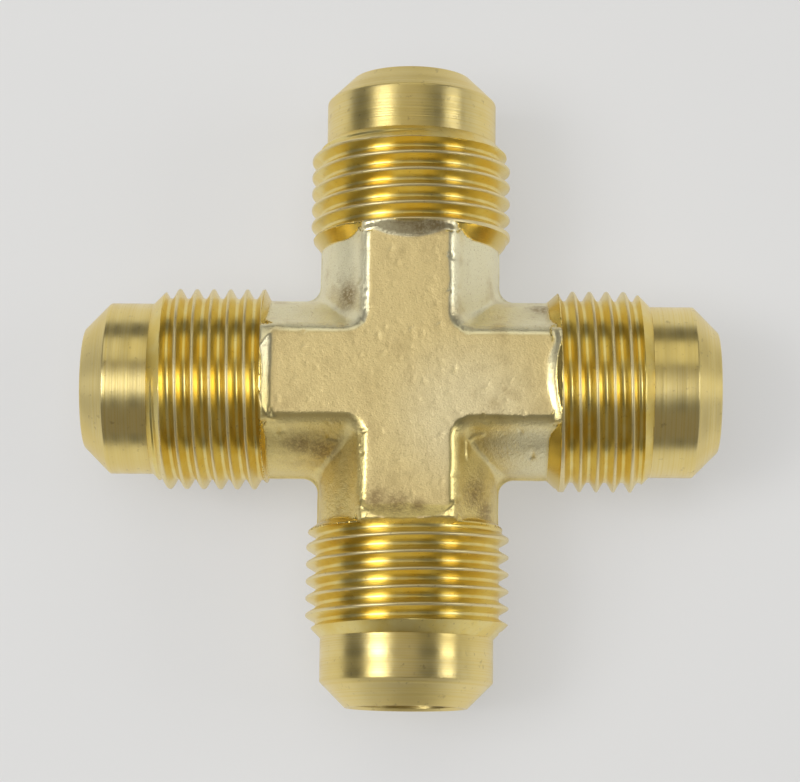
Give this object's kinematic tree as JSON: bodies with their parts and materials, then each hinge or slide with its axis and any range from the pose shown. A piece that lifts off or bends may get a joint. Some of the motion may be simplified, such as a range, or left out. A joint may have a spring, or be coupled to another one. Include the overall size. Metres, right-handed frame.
{
  "type": "flare cross fitting",
  "caption": "Forged brass cross fitting with male 45 degree flare threads on all ports and crossing through bores.",
  "frame": {"origin": "the point where the axes of the two through bores cross, on the forging's parting plane", "axes": "+X along the right-hand port, +Y along the rear port, +Z out of the upper flats; the fitting lies flat on its thread crests"},
  "size_m": [0.0594, 0.0599, 0.0188],
  "materials": {
    "forged_brass": "blasted forging skin, fine grain, pale",
    "machined_brass": "turned and threaded, satin to bright"
  },
  "bodies": {
    "root": {"forged_body": "forged_brass", "left_thread": "machined_brass", "left_flare_nose": "machined_brass", "right_thread": "machined_brass", "right_flare_nose": "machined_brass", "rear_thread": "machined_brass", "rear_flare_nose": "machined_brass", "front_thread": "machined_brass", "front_flare_nose": "machined_brass"}
  },
  "joints": []
}
